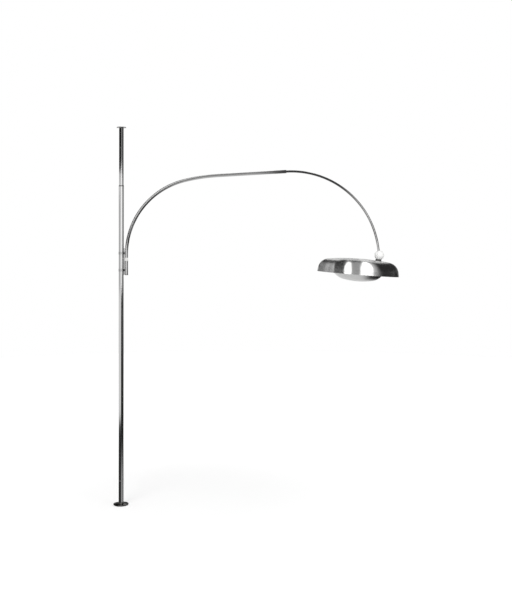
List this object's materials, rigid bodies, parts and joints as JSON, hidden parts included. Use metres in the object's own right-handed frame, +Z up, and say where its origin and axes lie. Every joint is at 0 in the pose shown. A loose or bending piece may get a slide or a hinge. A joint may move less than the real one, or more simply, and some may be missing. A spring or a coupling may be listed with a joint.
{
  "type": "arc floor lamp",
  "caption": "Floor-to-ceiling sprung pole carrying a height-adjustable bracket, a telescoping bent arm and a wide domed shade on a ball joint.",
  "frame": {"origin": "centre of the foot's underside, on the floor under the pole", "axes": "+Z up along the pole, +X along the arm towards the shade, the front faces -Y"},
  "size_m": [1.9631, 0.563, 2.6],
  "materials": {
    "chrome": "polished chrome plate",
    "steel": "plain steel",
    "blackened_steel": "blackened, slightly glossy",
    "rubber": "moulded rubber",
    "black_plastic": "moulded, fine texture",
    "white_plastic": "smooth moulding",
    "white_metal": "white enamel on a casting",
    "shade_aluminium": "spun and brushed",
    "bowl_aluminium": "satin spun",
    "bulb_cap": "rolled screw cap",
    "bulb_glass": "opal white"
  },
  "bodies": {
    "pole": {"floor_pad": "rubber", "foot_disc": "chrome", "foot_ferrule": "chrome", "foot_plug": "black_plastic", "foot_screw": "steel", "foot_stem": "chrome", "foot_spigot": "steel", "lower_pole": "chrome", "pole_coupler": "steel", "upper_pole": "chrome", "guide_bush": "black_plastic", "lock_screw": "blackened_steel", "spring_seat": "steel", "tension_spring": "steel"},
    "top_section": {"ceiling_tube": "chrome", "spring_plunger": "steel", "ceiling_flange": "chrome", "ceiling_pad": "rubber"},
    "bracket": {"arm_socket": "chrome", "lower_clamp_band": "chrome", "upper_clamp_band": "chrome", "clamp_pads": "blackened_steel", "clamp_screws": "blackened_steel", "clamp_nuts": "steel", "swivel_bush": "white_plastic", "cord_grommet": "rubber"},
    "outer_arm": {"outer_arm": "chrome", "arm_spigot": "steel", "arm_ferrule": "chrome", "slide_bush": "black_plastic"},
    "inner_arm": {"inner_arm": "chrome", "inner_glide": "black_plastic", "arm_eye": "steel"},
    "ball": {"ball_front": "white_plastic", "ball_rear": "white_plastic", "pivot_bolt": "steel", "pivot_nut": "steel", "friction_washers": "black_plastic", "pivot_caps": "white_plastic", "swivel_stem": "steel", "stem_washer": "steel", "stem_nut": "steel"},
    "shade": {"shade_dome": "shade_aluminium", "ball_collar": "blackened_steel", "seat_plate": "steel", "lamp_hub": "white_metal", "lampholders": "black_plastic", "bulb_caps": "bulb_cap", "bulbs": "bulb_glass", "reflector_bowl": "bowl_aluminium", "bowl_clips": "steel"}
  },
  "joints": [
    {"name": "ceiling_spring", "type": "slide", "parent": "pole", "child": "top_section", "axis": [0, 0, 1], "range_m": [-0.05, 0], "stiffness_N_per_m": 4000, "springref_m": 0.05, "deforming": ["tension_spring"]},
    {"name": "bracket_height", "type": "slide", "parent": "pole", "child": "bracket", "axis": [0, 0, 1], "range_m": [-0.7, 0.25]},
    {"name": "arm_swivel", "type": "hinge", "parent": "bracket", "child": "outer_arm", "pos_m": [0.036, 0, 1.701], "axis": [0, 0, 1], "range_deg": [-115, 115]},
    {"name": "arm_reach", "type": "slide", "parent": "outer_arm", "child": "inner_arm", "axis": [0.9982, 0, 0.0593], "range_m": [0, 0.3]},
    {"name": "shade_tilt", "type": "hinge", "parent": "inner_arm", "child": "ball", "pos_m": [1.77717, 0, 1.71974], "axis": [0, 1, 0], "range_deg": [-25, 25]},
    {"name": "shade_turn", "type": "hinge", "parent": "ball", "child": "shade", "pos_m": [1.77717, 0, 1.71974], "axis": [0.1545, 0, 0.988], "range_deg": [-170, 170]}
  ]
}
